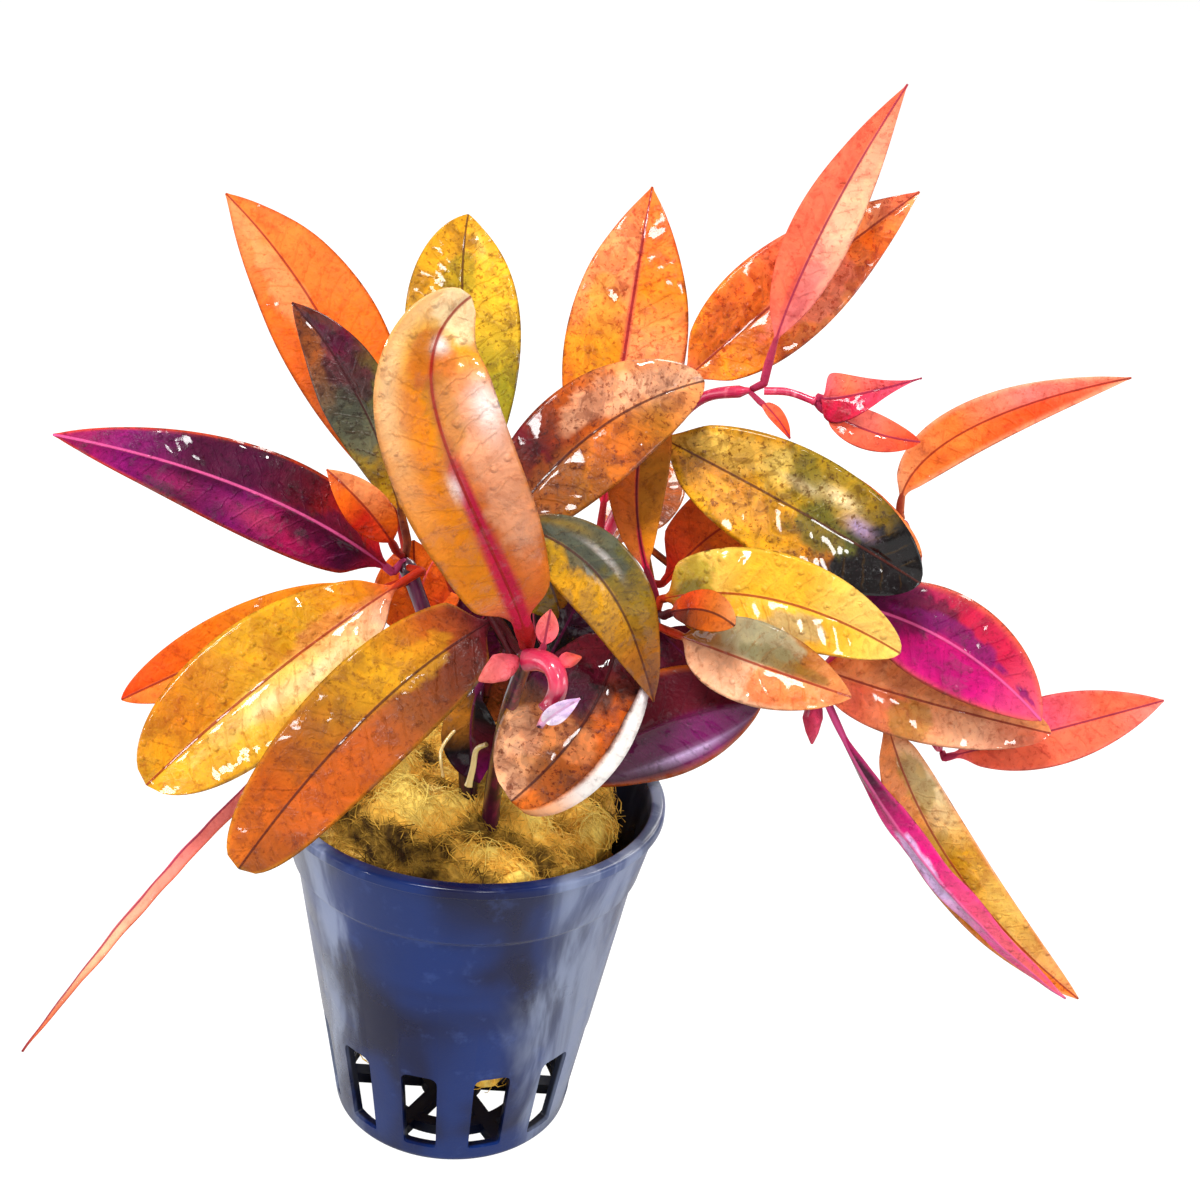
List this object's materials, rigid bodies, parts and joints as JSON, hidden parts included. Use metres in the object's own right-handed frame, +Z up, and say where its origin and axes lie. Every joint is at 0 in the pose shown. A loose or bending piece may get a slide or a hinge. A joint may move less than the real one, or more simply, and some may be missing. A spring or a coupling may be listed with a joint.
{
  "type": "potted alternanthera sessilis",
  "caption": "Bushy aquarium plant with lance shaped orange, brown and purple leaves on dark stems, planted in mineral wool in a black slotted net pot.",
  "frame": {"origin": "centre of the pot's floor, on its underside", "axes": "+Z up along the pot's axis, -Y towards the front of the plant"},
  "size_m": [0.1421, 0.0974, 0.1451],
  "materials": {
    "pot_plastic": "thin moulded plastic with a soft blue sheen",
    "wool": "rough wet mineral wool fibres",
    "stem_dark": "smooth wet stem",
    "stem_pink": "smooth wet stem",
    "leaf_orange": "glossy wet leaf",
    "leaf_yellow": "glossy wet leaf",
    "leaf_olive": "glossy wet leaf",
    "leaf_brown": "glossy wet leaf",
    "leaf_pink": "glossy wet leaf",
    "leaf_purple": "glossy purple leaf underside",
    "leaf_pale": "pale leaf",
    "root_cream": "thin pale root"
  },
  "bodies": {
    "root": {"pot": "pot_plastic", "mineral_wool": "wool", "stem_left": "stem_dark", "stem_front": "stem_dark", "stem_right": "stem_dark", "stem_pink_high": "stem_pink", "stem_back": "stem_dark", "stem_low_right": "stem_dark", "leaf_orange_back_left": "leaf_orange", "leaf_bronze_left": "leaf_brown", "leaf_gold_front": "leaf_yellow", "leaf_green_back": "leaf_olive", "leaf_coral_centre": "leaf_orange", "leaf_brown_centre": "leaf_brown", "leaf_amber_right": "leaf_orange", "leaf_bronze_upright": "leaf_brown", "leaf_pink_top_right": "leaf_pink", "leaf_peach_far_right": "leaf_orange", "leaf_olive_right": "leaf_olive", "leaf_rust_behind": "leaf_brown", "leaf_yellow_right": "leaf_yellow", "leaf_rust_curl": "leaf_brown", "leaf_peach_right": "leaf_orange", "leaf_magenta_right": "leaf_purple", "leaf_orange_low_right": "leaf_orange", "leaf_red_far_right": "leaf_pink", "leaf_yellow_hanging": "leaf_yellow", "leaf_magenta_hanging": "leaf_purple", "leaf_purple_low": "leaf_purple", "leaf_olive_arched": "leaf_olive", "leaf_brown_drooping": "leaf_brown", "leaf_purple_left": "leaf_purple", "leaf_red_small_left": "leaf_pink", "leaf_red_low_left": "leaf_orange", "leaf_amber_low_left": "leaf_orange", "leaf_copper_front_left": "leaf_orange", "leaf_pink_blade_left": "leaf_pink", "leaf_maroon_inside": "leaf_purple", "leaf_back_left": "leaf_purple", "leaf_back_upright": "leaf_olive", "leaf_back_centre": "leaf_brown", "leaf_back_low": "leaf_purple", "leaf_back_right": "leaf_brown", "leaf_back_low_right": "leaf_purple", "shoot_bud": "leaf_pink", "shoot_leaf": "leaf_pink", "shoot_twig": "stem_pink", "shoot_stub": "leaf_pink", "shoot_pale_leaf": "leaf_pale", "bud_twig": "stem_pink", "bud_leaf_pink": "leaf_pink", "bud_leaf_red": "leaf_pink", "leaf_narrow_right": "leaf_pink", "twig_far_right": "stem_pink", "twig_peach_right": "stem_pink", "bud_low_right": "leaf_pink", "root_left": "root_cream", "root_middle": "root_cream"}
  },
  "joints": []
}
